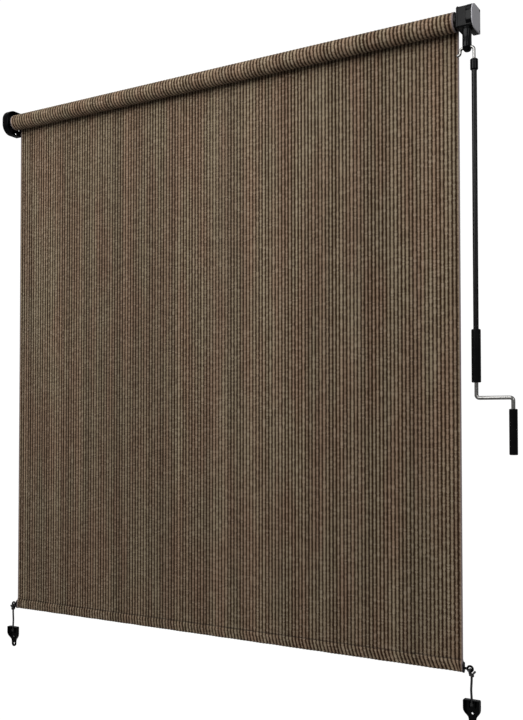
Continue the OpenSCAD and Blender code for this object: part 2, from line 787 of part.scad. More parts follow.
// Moulded tube with rounded rims: bored through, with a wider recess at its lower end
module turning_grip(low, top, r, bore, recess_r, recess) {
    difference() {
        rotate_extrude() polygon([
            [0, low], [r - edge_r, low], [r - edge_r * 0.3, low + edge_r * 0.3], [r, low + edge_r],
            [r, top - edge_r], [r - edge_r * 0.3, top - edge_r * 0.3], [r - edge_r, top], [0, top]
        ]);
        translate([0, 0, low - cut]) cylinder(h = top - low + 2 * cut, r = bore);
        translate([0, 0, low - cut]) cylinder(h = recess + cut, r = recess_r);
    }
}

module pole_sleeve() {
    color([0.05, 0.05, 0.05]) at_pole()
        turning_grip(sleeve_low, sleeve_top, sleeve_r, pole_r + run_gap, plug_flange_r + face_gap, plug_flange_h + 1 + face_gap);
}

module hand_grip() {
    color([0.05, 0.05, 0.05]) at_grip()
        turning_grip(grip_low, grip_top, grip_r, rod_r + run_gap, nut_r + face_gap, grip_recess);
}

// Flat oval in Y and Z, centred, drawn out by a distance
module oval(height, thickness, grow) {
    r = thickness / 2 + grow;
    straight = height - thickness;
    translate([-r, -straight / 2]) square([2 * r, straight]);
    for (side = [-1, 1]) translate([0, side * straight / 2]) circle(r);
}

module at_bar() {
    translate([0, panel_y, bar_z]) children();
}

bar_inset = 2; // bar's ends inside the cloth's edges

module hem_bar() {
    color([0.75, 0.76, 0.77]) at_bar() along_x(cloth_x0 + bar_inset, cloth_x1 - bar_inset) difference() {
        oval(bar_h, bar_t, 0);
        oval(bar_h, bar_t, -bar_wall);
    }
}

// Sewn hem: the cloth goes round the bar and back up to the seam, with its ribs on both faces
module shade_hem() {
    top = hem_z + hem_h - bar_z;
    shoulder = bar_h / 2 - bar_t / 2;
    color([0.31, 0.25, 0.2]) difference() {
        intersection() {
            at_bar() along_x(cloth_x0, cloth_x1) {
                oval(bar_h, bar_t, hem_cloth_t);
                polygon([[-hem_half, shoulder], [hem_half, shoulder], [neck_half, top], [-neck_half, top]]);
            }
            translate([cloth_x0, panel_y, hem_z - cut]) linear_extrude(hem_h + 2 * cut) cloth_section(hem_half - rib_h);
        }
        at_bar() along_x(cloth_x0 - cut, cloth_x1 + cut) oval(bar_h, bar_t, seat_gap);
    }
}

ring_z = bar_z - ring_drop;
ring_x = cloth_x1 + cap_t + ring_out;

// End cap of the hem bar: a tongue in the bar, a plate over the hem's end, and an eye on a stem
module hem_cap() {
    tongue = oval_gap();
    at_bar() along_x(cloth_x1 - bar_inset - cap_tongue, cloth_x1) oval(bar_h, bar_t, -bar_wall - tongue);
    at_bar() along_x(cloth_x1, cloth_x1 + cap_t) oval(bar_h, bar_t, hem_cloth_t + cap_over);
    translate([0, panel_y, ring_z]) {
        x_cyl(cloth_x1 + cap_t - cut / 2, ring_x - ring_major, stem_r);
        translate([ring_x, 0, 0]) rotate([90, 0, 0]) rotate_extrude() translate([ring_major, 0]) circle(ring_minor);
    }
}

function oval_gap() = 0.1; // clearance of the cap's tongue in the bar

// The tie-down's own frame: the knot under the ring, with the cord going down from it
module at_knot() {
    translate([ring_x + knot_shift, panel_y, ring_z - knot_drop]) children();
}

// Tied end of the cord: a loop through the ring, the knot under it, and the cut tail
module cord_knot() {
    translate([ring_x, panel_y, ring_z - ring_major]) rotate([0, 90, 0])
        rotate_extrude() translate([loop_major, 0]) circle(cord_r);
    at_knot() difference() {
        union() {
            sphere(knot_r);
            rotate([0, 40, 0]) cylinder(h = tail_len + knot_r, r = cord_r - 0.4);
        }
        translate([-knot_r, -knot_r, -2 * knot_r]) cube([2 * knot_r, 2 * knot_r, knot_r * (2 - knot_flat)]);
    }
}

module at_cord() {
    at_knot() translate([0, 0, -knot_r * knot_flat]) children();
}

cord_end = cord_route[len(cord_route) - 1];

module tie_cord() {
    at_cord() swept_tube(cord_route, cord_r, cord_sides);
}

// Knot on the cord's lower end, behind the anchor's top wall
module cord_stop() {
    at_cord() translate(cord_end - [0, 0, stop_r * knot_flat]) difference() {
        sphere(stop_r);
        translate([-stop_r, -stop_r, stop_r * knot_flat]) cube(2 * stop_r);
    }
}

// Face of the anchor in X and Z, from its top edge down: straight sides, a taper and a rounded tab
module anchor_outline(inset) {
    half = anchor_w / 2 - inset;
    tab = anchor_tab_r - inset;
    tab_z = anchor_tab_r - anchor_h;
    polygon([
        [-half, -inset], [half, -inset], [half, -anchor_side], [tab, tab_z],
        [-tab, tab_z], [-half, -anchor_side]
    ]);
    translate([0, tab_z]) circle(tab);
}

module from_back(y0, y1) {
    translate([0, anchor_back - y0, 0]) rotate([90, 0, 0]) linear_extrude(y1 - y0) children();
}

// Anchor: a shield-shaped plate with a rim, a pocket for the cord's end and two screw holes
module anchor() {
    slot_r = cord_r + 0.5;
    pocket_floor = -stop_depth - 2.6 * stop_r;
    at_cord() translate([cord_end[0], 0, cord_end[2] + stop_depth]) difference() {
        union() {
            from_back(0, anchor_plate_t) anchor_outline(0);
            from_back(0, anchor_d) difference() {
                anchor_outline(0);
                anchor_outline(anchor_wall);
                translate([-anchor_w, pocket_floor - anchor_h]) square([2 * anchor_w, anchor_h]);
            }
            from_back(0, anchor_d - anchor_wall) for (side = [-1, 1])
                translate([side * (stop_r + 2.5) - 1.25, pocket_floor]) square([2.5, -pocket_floor]);
            from_back(0, anchor_plate_t + anchor_ring_t)
                translate([0, -anchor_hole_z]) circle(anchor_hole_d / 2 + 3);
        }
        from_back(anchor_back, anchor_d + cut) translate([-slot_r, -anchor_wall - cut]) square([2 * slot_r, anchor_h]);
        translate([0, 0, -anchor_wall - cut]) cylinder(h = anchor_wall + 2 * cut, r = slot_r);
        for (z = [-anchor_hole_z, -anchor_hole_z - anchor_hole_gap])
            translate([0, 0, z]) y_cyl(anchor_back - anchor_d - cut, anchor_back + cut, anchor_hole_d / 2);
    }
}

// The left end of the hem mirrors the right end about the middle of the cloth
module other_end() {
    translate([cloth_x0 + cloth_x1, 0, 0]) mirror([1, 0, 0]) children();
}

plastic = [0.05, 0.05, 0.055];

module hem_cap_left() { color(plastic) other_end() hem_cap(); }
module hem_cap_right() { color(plastic) hem_cap(); }
module cord_knot_left() { color(plastic) other_end() cord_knot(); }
module cord_knot_right() { color(plastic) cord_knot(); }
module tie_cord_left() { color(plastic) other_end() tie_cord(); }
module tie_cord_right() { color(plastic) tie_cord(); }
module cord_stop_left() { color(plastic) other_end() cord_stop(); }
module cord_stop_right() { color(plastic) cord_stop(); }
module anchor_left() { color(plastic) other_end() anchor(); }
module anchor_right() { color(plastic) anchor(); }

idler_bracket();
idler_pin();
crank_bracket();
crank_end_plate();
gear_housing();
gear_cover();
gear_box_screws();
crank_shaft_bush();
thrust_washer();
brake_spring();
roller_bush();
roller_tube();
drive_plug();
roller_gear();
idler_plug();
idler_bush();
cloth_spline();
plug_screws();
shade_roll();
shade_panel();
crank_shaft();
crank_gear();
crank_eye();
eye_pin();
crank_hook();
hook_collar();
collar_pin();
crank_pole();
pole_end_plug();
crank_rod();
grip_push_nut();
pole_sleeve();
hand_grip();
hem_bar();
shade_hem();
hem_cap_left();
hem_cap_right();
cord_knot_left();
cord_knot_right();
tie_cord_left();
tie_cord_right();
cord_stop_left();
cord_stop_right();
anchor_left();
anchor_right();
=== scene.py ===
import math
import random

import bmesh
import bpy
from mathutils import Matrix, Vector


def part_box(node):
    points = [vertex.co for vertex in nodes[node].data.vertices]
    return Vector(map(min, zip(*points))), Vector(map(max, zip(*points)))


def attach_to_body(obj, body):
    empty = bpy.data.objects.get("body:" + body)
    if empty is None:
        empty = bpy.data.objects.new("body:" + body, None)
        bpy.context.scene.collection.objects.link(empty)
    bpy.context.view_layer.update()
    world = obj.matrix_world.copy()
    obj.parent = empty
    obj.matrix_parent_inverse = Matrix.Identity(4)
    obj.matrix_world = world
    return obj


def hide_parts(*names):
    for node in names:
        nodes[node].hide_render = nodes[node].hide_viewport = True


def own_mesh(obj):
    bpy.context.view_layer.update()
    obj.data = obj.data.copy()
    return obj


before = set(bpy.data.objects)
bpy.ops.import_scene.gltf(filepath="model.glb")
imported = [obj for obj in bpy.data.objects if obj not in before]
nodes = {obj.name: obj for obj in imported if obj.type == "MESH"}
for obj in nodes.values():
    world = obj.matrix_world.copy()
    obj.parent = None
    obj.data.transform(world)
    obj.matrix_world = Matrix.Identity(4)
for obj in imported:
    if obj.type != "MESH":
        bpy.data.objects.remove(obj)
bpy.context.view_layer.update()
random.seed(7)
print("frame loaded:", len(nodes), "nodes")


# camera at the photograph's angle: metres, degrees, and pixels of the photograph
view = {
    "place": (1.7326, -2.63647, -1.13987), "turn": 31.8585, "tilt": 1.6168,
    "focal": 941.9, "shift": (-24.47, 33.2), "width": 523, "sensor": 36, "far": 100,
}
camera = bpy.data.objects.new("camera", bpy.data.cameras.new("camera"))
bpy.context.collection.objects.link(camera)
camera.location = view["place"]
camera.rotation_euler = (math.radians(90 + view["tilt"]), 0, math.radians(view["turn"]))
camera.data.sensor_fit = "HORIZONTAL"
camera.data.sensor_width = view["sensor"]
camera.data.lens = view["focal"] * view["sensor"] / view["width"]
camera.data.shift_x = -view["shift"][0] / view["width"]
camera.data.shift_y = view["shift"][1] / view["width"]
camera.data.clip_end = view["far"]
bpy.context.scene.camera = camera
print("camera set")


# places on the part, in metres, as the part's source has them
place = {
    "left": -0.884, "right": 0.856, "axisY": -0.038, "panelY": -0.0096, "panelR": 0.0284, "drop": 1.856,
    "hem": 0.036, "pitch": 0.012, "barZ": -1.8417, "ringX": 0.876, "ringZ": -1.8437,
}
clothWidth = place["right"] - place["left"]
seamZ = -place["drop"] + place["hem"]  # top of the hem
ends = {"left": -1, "right": 1}  # the way out along X at each end
mesher = {"tubeSides": 14, "cutSides": 28, "sharpAngle": 32, "chamfer": 0.0006}


def atEnd(x, side):
    # a place given for the right end, or its mirror image at the left end
    return x if side == "right" else place["left"] + place["right"] - x


def boxOf(node):
    low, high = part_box(node)
    return low, high, [(a + b) / 2 for a, b in zip(low, high)]


def meshPiece(name, points, faces, smooth=True):
    mesh = bpy.data.meshes.new(name)
    mesh.from_pydata(points, [], faces)
    mesh.validate()
    mesh.update()
    for face in mesh.polygons:
        face.use_smooth = smooth
    piece = bpy.data.objects.new(name, mesh)
    bpy.context.collection.objects.link(piece)
    return piece


def markWeave(piece, places):
    layer = piece.data.attributes.new("weave", "FLOAT_VECTOR", "POINT")
    layer.data.foreach_set("vector", [value for across, along in places for value in (across, 0.0, along)])


def gridFaces(rows, columns):
    return [
        (i * columns + j, i * columns + j + 1, (i + 1) * columns + j + 1, (i + 1) * columns + j)
        for i in range(rows - 1) for j in range(columns - 1)
    ]


def ringFaces(rings, sides, closed=False):
    # faces between rings of equal count, and from the last to the first if closed
    faces = []
    for i in range(rings if closed else rings - 1):
        a, b = i * sides, (i + 1) % rings * sides
        faces += [(a + k, a + (k + 1) % sides, b + (k + 1) % sides, b + k) for k in range(sides)]
    return faces


def tubeMesh(route, radius, sides=mesher["tubeSides"], closed=False):
    # points and faces of a round tube along a route, with one radius or one for each point
    route = [Vector(p) for p in route]
    count = len(route)
    points = []
    side = None
    for i, p in enumerate(route):
        before = route[i - 1] if i or closed else p
        after = route[(i + 1) % count] if i < count - 1 or closed else p
        along = (after - before).normalized()
        if side is None:
            side = along.orthogonal().normalized()
        side = (side - along * side.dot(along)).normalized()
        up = along.cross(side)
        r = radius[i] if isinstance(radius, (list, tuple)) else radius
        for k in range(sides):
            a = 2 * math.pi * k / sides
            points.append(p + r * (math.cos(a) * side + math.sin(a) * up))
    faces = ringFaces(count, sides, closed)
    if not closed:
        faces.append(tuple(range(sides - 1, -1, -1)))
        faces.append(tuple(range((count - 1) * sides, count * sides)))
    return [tuple(p) for p in points], faces


def bossMesh(start, end, radius, sides):
    # a round boss with a chamfered end
    start, end = Vector(start), Vector(end)
    back = (start - end).normalized() * mesher["chamfer"]
    return tubeMesh([start, end + back, end], [radius, radius, radius - mesher["chamfer"]], sides)


def smoothRoute(points, steps):
    # a curve through the points, as close points on it
    result = []
    for i in range(len(points) - 1):
        a, b = Vector(points[max(i - 1, 0)]), Vector(points[i])
        c, d = Vector(points[i + 1]), Vector(points[min(i + 2, len(points) - 1)])
        for s in range(steps):
            t = s / steps
            bend, twist = 2 * a - 5 * b + 4 * c - d, 3 * b - a - 3 * c + d
            result.append(0.5 * ((2 * b) + (c - a) * t + bend * t * t + twist * t ** 3))
    result.append(Vector(points[-1]))
    return [tuple(p) for p in result]


def joinMeshes(parts):
    points, faces = [], []
    for somePoints, someFaces in parts:
        start = len(points)
        points += somePoints
        faces += [tuple(start + i for i in face) for face in someFaces]
    return points, faces


def loft(rings):
    # points and faces of a closed solid through rings of equal count
    count = len(rings[0])
    points = [p for ring in rings for p in ring]
    caps = [tuple(range(count)), tuple(range((len(rings) - 1) * count, len(rings) * count))]
    return points, ringFaces(len(rings), count) + caps


def faceOut(piece):
    work = bmesh.new()
    work.from_mesh(piece.data)
    bmesh.ops.recalc_face_normals(work, faces=work.faces)
    work.to_mesh(piece.data)
    work.free()


def carve(solid, bars):
    # points and faces of a solid with round bars cut out of it, each (from, to, radius)
    body = meshPiece("body", *solid)
    tubes = [tubeMesh([start, end], radius, mesher["cutSides"]) for start, end, radius in bars]
    cutter = meshPiece("cutter", *joinMeshes(tubes))
    for piece in (body, cutter):
        faceOut(piece)
    cut = body.modifiers.new("cut", "BOOLEAN")
    cut.operation, cut.solver, cut.object = "DIFFERENCE", "EXACT", cutter
    result = bpy.data.meshes.new_from_object(body.evaluated_get(bpy.context.evaluated_depsgraph_get()))
    points, faces = [tuple(v.co) for v in result.vertices], [tuple(f.vertices) for f in result.polygons]
    for piece in (body, cutter):
        mesh = piece.data
        bpy.data.objects.remove(piece)
        bpy.data.meshes.remove(mesh)
    bpy.data.meshes.remove(result)
    return points, faces


# shader maths: a wrapped socket with operators, and one method for every other node
class Wire:
    def __init__(self, tree, socket):
        self.tree, self.socket = tree, socket

    def maths(self, operation, a, b=None):
        node = self.tree.nodes.new("ShaderNodeMath")
        node.operation = operation
        for index, value in enumerate((a, b)):
            if isinstance(value, Wire):
                self.tree.links.new(value.socket, node.inputs[index])
            elif value is not None:
                node.inputs[index].default_value = value
        return Wire(self.tree, node.outputs[0])

    def __add__(self, other): return self.maths("ADD", self, other)
    def __sub__(self, other): return self.maths("SUBTRACT", self, other)
    def __rsub__(self, other): return self.maths("SUBTRACT", other, self)
    def __mul__(self, other): return self.maths("MULTIPLY", self, other)
    def __truediv__(self, other): return self.maths("DIVIDE", self, other)
    def fract(self): return self.maths("FRACT", self)
    def size(self): return self.maths("ABSOLUTE", self)
    def sine(self): return self.maths("SINE", self)
    def least(self, other): return self.maths("MINIMUM", self, other)
    def most(self, other): return self.maths("MAXIMUM", self, other)


class Finish:
    def __init__(self, name):
        self.material = bpy.data.materials.new(name)
        self.material.use_nodes = True
        self.tree = self.material.node_tree
        self.shader = self.tree.nodes["Principled BSDF"]

    def put(self, value, socket):
        if isinstance(value, Wire):
            self.tree.links.new(value.socket, socket)
        else:
            socket.default_value = value

    def add(self, kind, settings, values, out=0):
        node = self.tree.nodes.new(kind)
        for key, value in settings.items():
            setattr(node, key, value)
        for key, value in values.items():
            self.put(value, node.inputs[key])
        return Wire(self.tree, node.outputs[out])

    def where(self):
        return self.add("ShaderNodeTexCoord", {}, {}, "Object")

    def parts(self, vector):
        node = self.tree.nodes.new("ShaderNodeSeparateXYZ")
        self.tree.links.new(vector.socket, node.inputs[0])
        return [Wire(self.tree, output) for output in node.outputs]

    def noise(self, vector, scale, detail=3, rough=0.55):
        values = {"Vector": vector, "Scale": scale, "Detail": detail, "Roughness": rough}
        return self.add("ShaderNodeTexNoise", {}, values, "Fac")

    def drawn(self, vector, scales, detail, rough):
        # noise with its own scale on each axis
        stretched = self.add("ShaderNodeVectorMath", {"operation": "MULTIPLY"}, {0: vector, 1: scales})
        return self.noise(stretched, 1, detail, rough)

    def soft(self, value, low, high, to=(0, 1)):
        values = {"Value": value, "From Min": low, "From Max": high, "To Min": to[0], "To Max": to[1]}
        return self.add("ShaderNodeMapRange", {"interpolation_type": "SMOOTHSTEP"}, values)

    def mix(self, share, a, b):
        return self.add("ShaderNodeMix", {"data_type": "RGBA"}, {0: share, 6: a, 7: b}, 2)

    def darken(self, colour, share):
        grey = self.add("ShaderNodeCombineColor", {}, {0: share, 1: share, 2: share})
        settings = {"data_type": "RGBA", "blend_type": "MULTIPLY"}
        return self.add("ShaderNodeMix", settings, {0: 1.0, 6: colour, 7: grey}, 2)

    def bump(self, height, strength, distance):
        return self.add("ShaderNodeBump", {}, {"Height": height, "Strength": strength, "Distance": distance})

    def fill(self, **sockets):
        for key, value in sockets.items():
            self.put(value, self.shader.inputs[key.replace("_", " ")])
        return self.material


def rgb(r, g, b):
    # a colour as a screen shows it, 0 to 255, to the shader's own scale
    parts = [c / 255 for c in (r, g, b)]
    return tuple(c / 12.92 if c <= 0.04045 else ((c + 0.055) / 1.055) ** 2.4 for c in parts) + (1,)


def scaled(colour, factor, lift=0.0):
    return tuple(min(1, c * factor + lift) for c in colour[:3]) + (1,)


noiseRange = (0.3, 0.7)  # where most of a noise's values lie
knitLook = {
    "rib": rgb(139, 125, 103), "gap": rgb(38, 22, 7), "warm": rgb(136, 114, 94), "light": rgb(176, 163, 146),
    # painted highlight: the edge colour and the three values after it paint a pale grey band along both side
    # edges of the cloth, giving its width, soft margin and strength
    "edge": rgb(122, 112, 112), "edgeHighlightWidth": 0.0045, "edgeHighlightBlur": 0.2, "edgeHighlightShare": 0.85,
    "course": 0.0040, "slant": 1.4,  # height of a row of loops, and how far its V dips
    "loop": 0.3, "streak": 0.5, "grain": 0.4, "ribTone": 0.2,  # how much each noise moves a rib's crest
    "streakScale": (260, 1, 130), "grainScale": (1100, 1, 900),
    "bandScale": (11, 1, 0.5), "hueScale": (16, 1, 2.2),
    "crestRange": (0.1, 1.0), "hueRange": (0.35, 0.65), "lightRange": (0.74, 0.95), "lightShare": 0.16,
    # the last value on this line sets the width of the painted shade along the hem's seam
    "bandRange": (0.28, 0.72), "bandShade": (0.78, 1.02), "seamShadeRange": (0.0015, 0.006),
    "crestHeight": 0.5, "loopHeight": 0.45, "grainHeight": 0.3, "loopRange": (0.1, 0.9),
    "bump": 0.6, "bumpDepth": 0.0008, "rough": (0.8, 0.96), "shine": 0.12, "sheen": 0.04,
}


def ribbedKnit(name, paintedLightScale=1.0, seam=0.0):
    # the attribute weave holds each point's place on the flat cloth: across, nothing, along
    look = knitLook
    f = Finish(name)
    weave = f.add("ShaderNodeAttribute", {"attribute_name": "weave"}, {}, "Vector")
    across, nothing, along = f.parts(weave)
    ribs = across / place["pitch"]
    inRib = ribs.fract()
    number = ribs - inRib
    rib = 1 - ((inRib - 0.5) * 2).size()  # 1 on a rib's crest, 0 in the gap
    courses = along / look["course"] + (inRib - 0.5).size() * look["slant"]
    row = courses - courses.fract()
    cell = f.add("ShaderNodeCombineXYZ", {}, {0: number, 1: row})
    loop = f.add("ShaderNodeTexWhiteNoise", {"noise_dimensions": "2D"}, {"Vector": cell}, "Value")
    ribTone = f.add("ShaderNodeTexWhiteNoise", {"noise_dimensions": "1D"}, {"W": number}, "Value")
    streak = f.drawn(weave, look["streakScale"], 3, 0.6)
    grain = f.drawn(weave, look["grainScale"], 2, 0.5)
    band = f.drawn(weave, look["bandScale"], 3, 0.6)
    hue = f.drawn(weave, look["hueScale"], 2, 0.5)
    level = rib
    for noise, share in ((loop, "loop"), (streak, "streak"), (grain, "grain"), (ribTone, "ribTone")):
        level = level + (noise - 0.5) * look[share]
    crest = f.soft(level, *look["crestRange"])
    pale = f.mix(f.soft(hue, *look["hueRange"]), look["rib"], look["warm"])
    pale = f.mix(f.soft(loop, *look["lightRange"], (0, look["lightShare"])), pale, look["light"])
    yarn = f.mix(crest, look["gap"], pale)
    # random darker bands; the factor on them paints the roll's copy of the cloth lighter and the hem's copy a
    # little darker, as painted light and shade
    yarn = f.darken(yarn, f.soft(band, *look["bandRange"], [shade * paintedLightScale for shade in look["bandShade"]]))
    # painted shade: a dark line where the cloth folds at the hem's seam
    if seam:
        yarn = f.darken(yarn, f.soft((along + seamZ).size(), *look["seamShadeRange"], (1 - seam, 1)))
    # painted highlight: a pale grey band along both side edges of the cloth
    fromEdge = across.least(clothWidth - across)
    blur = [look["edgeHighlightWidth"] * (1 + sign * look["edgeHighlightBlur"]) for sign in (-1, 1)]
    yarn = f.mix(f.soft(fromEdge, *blur, (look["edgeHighlightShare"], 0)), yarn, look["edge"])
    stitch = 1 - ((courses.fract() - 0.5) * 2).size()  # rows of V stitches
    height = crest * look["crestHeight"] + f.soft(stitch, *look["loopRange"]) * look["loopHeight"]
    height = height + grain * look["grainHeight"]
    return f.fill(
        Base_Color=yarn, Roughness=f.soft(grain, *noiseRange, look["rough"]),
        Normal=f.bump(height, look["bump"], look["bumpDepth"]),
        Specular_IOR_Level=look["shine"], Sheen_Weight=look["sheen"],
    )


plasticLook = {
    "fine": 900, "broad": 22, "scuff": (60, 60, 260), "scuffRange": (0.6, 0.8), "scuffRough": 0.12,
    "tint": (1.3, 0.001), "tintRange": (0.35, 0.7), "tintShare": 0.5,
    "wear": (1.6, 0.003), "wearRange": (0.62, 0.8), "wearShare": 0.35,
    "spread": 0.15, "bumpDepth": 0.0002, "coatRough": 0.12,
}


def mouldedPlastic(name, colour, rough, grain, coat=0.0, shine=0.2):
    look = plasticLook
    f = Finish(name)
    where = f.where()
    fine = f.noise(where, look["fine"])
    broad = f.noise(where, look["broad"])
    scuff = f.drawn(where, look["scuff"], 4, 0.7)
    tinted = f.soft(broad, *look["tintRange"], (0, look["tintShare"]))
    worn = f.soft(scuff, *look["wearRange"], (0, look["wearShare"]))
    surface = f.mix(tinted, colour, scaled(colour, *look["tint"]))
    surface = f.mix(worn, surface, scaled(colour, *look["wear"]))
    roughness = f.soft(broad, *noiseRange, (rough * (1 - look["spread"]), rough * (1 + look["spread"])))
    roughness = roughness + f.soft(scuff, *look["scuffRange"], (0, look["scuffRough"]))
    return f.fill(
        Base_Color=surface, Roughness=roughness, Normal=f.bump(fine, grain, look["bumpDepth"]),
        Specular_IOR_Level=shine, Coat_Weight=coat, Coat_Roughness=look["coatRough"],
    )


metalLook = {
    "stain": 35, "stainRange": (0.45, 0.75), "stainShare": 0.7, "dull": 0.82, "spread": (0.8, 1.3),
    "lineRange": (0.4, 0.7), "lineRough": 0.06, "bump": 0.08, "bumpDepth": 0.0001,
}


def bareMetal(name, colour, rough, lines):
    look = metalLook
    f = Finish(name)
    where = f.where()
    drawn = f.drawn(where, lines, 4, 0.6)
    stain = f.noise(where, look["stain"])
    stained = f.soft(stain, *look["stainRange"], (0, look["stainShare"]))
    roughness = f.soft(stain, *noiseRange, [rough * share for share in look["spread"]])
    roughness = roughness + f.soft(drawn, *look["lineRange"], (0, look["lineRough"]))
    return f.fill(
        Base_Color=f.mix(stained, colour, scaled(colour, look["dull"])), Metallic=1.0, Roughness=roughness,
        Normal=f.bump(drawn, look["bump"], look["bumpDepth"]),
    )


plateLook = {
    "peel": 420, "cloud": 18, "cloudRange": (0.35, 0.7), "cloudShare": 0.6, "dull": 0.86,
    "spread": (0.9, 1.15), "bump": 0.1, "bumpDepth": 0.0002,
}


def paintedPlate(name, colour, rough):
    look = plateLook
    f = Finish(name)
    where = f.where()
    peel = f.noise(where, look["peel"], 2)
    cloud = f.noise(where, look["cloud"])
    clouded = f.soft(cloud, *look["cloudRange"], (0, look["cloudShare"]))
    return f.fill(
        Base_Color=f.mix(clouded, colour, scaled(colour, look["dull"])),
        Roughness=f.soft(cloud, *noiseRange, [rough * share for share in look["spread"]]),
        Normal=f.bump(peel, look["bump"], look["bumpDepth"]),
    )


braidLook = {
    "strands": 2600, "slope": 0.8, "fuzz": 1500, "dark": 0.5, "darkRange": (-0.2, 0.9), "rough": (0.6, 0.8),
    "strandHeight": 0.7, "fuzzHeight": 0.3, "bump": 0.5, "bumpDepth": 0.0005,
}


def braidedCover(name, colour):
    look = braidLook
    f = Finish(name)
    where = f.where()
    x, y, z = f.parts(where)
    left = ((x + y + z * look["slope"]) * look["strands"]).sine()
    right = ((x - y - z * look["slope"]) * look["strands"]).sine()
    braid = left.most(right)
    fuzz = f.noise(where, look["fuzz"], 2)
    height = braid * look["strandHeight"] + fuzz * look["fuzzHeight"]
    return f.fill(
        Base_Color=f.mix(f.soft(braid, *look["darkRange"]), scaled(colour, look["dark"]), colour),
        Roughness=f.soft(fuzz, *noiseRange, look["rough"]),
        Normal=f.bump(height, look["bump"], look["bumpDepth"]),
    )


finishes = {
    "knit": ribbedKnit("ribbed knit"),
    # the hem's and the roll's copies of the knit are painted a little darker and lighter as shade and light;
    # the hem's copy also paints shade along its seam
    "hemKnit": ribbedKnit("hem knit", paintedLightScale=0.97, seam=0.5),
    "rollKnit": ribbedKnit("roll knit", paintedLightScale=1.15),
    "gloss": mouldedPlastic("gloss black", rgb(4, 4, 5), rough=0.2, grain=0.04, coat=0.03, shine=0.07),
    "satin": mouldedPlastic("satin black", rgb(6, 6, 7), rough=0.3, grain=0.12, shine=0.08),
    "poleBlack": mouldedPlastic("black pole", rgb(9, 9, 10), rough=0.3, grain=0.05, shine=0.15),
    "plate": paintedPlate("grey plate", rgb(168, 167, 172), rough=0.42),
    "zinc": bareMetal("bright zinc", rgb(138, 137, 135), rough=0.25, lines=(300, 300, 40)),
    "steel": bareMetal("plain steel", rgb(168, 168, 172), rough=0.34, lines=(500, 500, 500)),
    "mill": bareMetal("mill aluminium", rgb(205, 206, 208), rough=0.36, lines=(30, 900, 900)),
    "nylon": mouldedPlastic("natural nylon", rgb(222, 218, 205), rough=0.45, grain=0.1),
    "braid": braidedCover("braided cover", rgb(24, 24, 25)),
    "thread": mouldedPlastic("seam thread", rgb(52, 42, 36), rough=0.8, grain=0.3),
}
wearing = {
    "gloss": ["idler_bracket", "crank_bracket", "crank_eye", "hook_collar", "anchor_left", "anchor_right"],
    "satin": [
        "gear_housing", "gear_cover", "drive_plug", "idler_plug", "pole_end_plug", "pole_sleeve", "hand_grip",
        "hem_cap_left", "hem_cap_right", "crank_shaft_bush", "thrust_washer", "eye_pin", "collar_pin",
    ],
    "poleBlack": ["crank_pole", "roller_tube"],
    "plate": ["crank_end_plate"],
    "zinc": ["crank_hook", "crank_rod"],
    "steel": ["idler_pin", "gear_box_screws", "brake_spring", "plug_screws", "crank_shaft", "grip_push_nut"],
    "mill": ["hem_bar"],
    "nylon": ["roller_bush", "idler_bush", "roller_gear", "crank_gear", "cloth_spline"],
    "thread": ["shade_roll", "shade_panel", "shade_hem"],
    "braid": [name + side for name in ("cord_knot_", "tie_cord_", "cord_stop_") for side in ends],
}


def dress(piece, finish):
    if piece.material_slots:
        for holder in piece.material_slots:
            holder.material = finishes[finish]
    else:
        piece.data.materials.append(finishes[finish])


def attach(piece, finish, body, node=None):
    dress(piece, finish)
    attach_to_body(piece, body)
    if node:
        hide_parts(node)
    return piece


def solidPiece(name, parts, finish, body, node):
    piece = meshPiece(name, *joinMeshes(parts))
    faceOut(piece)
    piece.data.set_sharp_from_angle(angle=math.radians(mesher["sharpAngle"]))
    return attach(piece, finish, body, node)


for finish, names in wearing.items():
    for name in names:
        dress(nodes[name], finish)
print("finishes on", sum(len(names) for names in wearing.values()), "nodes")


# end brackets with round fronts, and the crank end's lower outline
bracketShape = {
    "depth": 0.076, "wall": 0.003, "fillet": 0.0003,
    "rear": 0.0025, "rearLeast": 0.0005, "rearSteps": 5, "frontSteps": 22,
    "sideHole": (-0.007, 0.030, 0.0035), "sideDeep": 0.008,  # Y, Z to each side, radius
    "wallHole": (0.013, 0.018, 0.00275), "wallDeep": 0.005,  # in from the end, Z to each side, radius
    "past": 0.002,  # how far a cutter starts outside
    "rim": [(0.0008, 0.0), (0.0002, 0.0003), (0.0, 0.0009)],  # back from the end, inset
}
idlerShape = {
    "outer": -0.916, "cup": 0.027, "half": 0.046, "corner": 0.038,
    "face": [(0.0, 0.002), (0.0003, 0.001), (0.001, 0.0003), (0.0025, 0.0)],
    "boss": 0.012, "bossStart": 0.0025, "bossEnd": 0.009, "bossSides": 40, "bore": 0.0051,
}
crankShape = {
    "outer": 0.916, "plate": 0.003, "rim": 0.014, "half": 0.036, "corner": 0.028,
    "notch": 0.002, "notchTop": -0.031, "notchLow": -0.06,  # room for the eye in the lower wall
    "sleeve": 0.0028, "sleeveIn": 0.0005, "sleeveOut": 0.0002,
}


def bracketRing(x, shape, inset):
    # the outline seen along the roller: flat at the wall, round at the front
    b = bracketShape
    rear = max(b["rear"] - inset, b["rearLeast"])
    front = shape["corner"] - inset
    rearY, rearZ = -inset - rear, shape["half"] - inset - rear
    frontY, frontZ = shape["corner"] - b["depth"], shape["half"] - shape["corner"]
    corners = [
        (rearY, rearZ, rear, b["rearSteps"]), (frontY, frontZ, front, b["frontSteps"]),
        (frontY, -frontZ, front, b["frontSteps"]), (rearY, -rearZ, rear, b["rearSteps"]),
    ]
    ring = []
    for quarter, (y, z, r, steps) in enumerate(corners):
        for k in range(steps + 1):
            a = math.pi / 2 * (quarter + k / steps)
            ring.append((x, y + r * math.cos(a), z + r * math.sin(a)))
    return ring


def bracketLoft(shape, steps):
    return loft([bracketRing(x, shape, inset) for x, inset in steps])


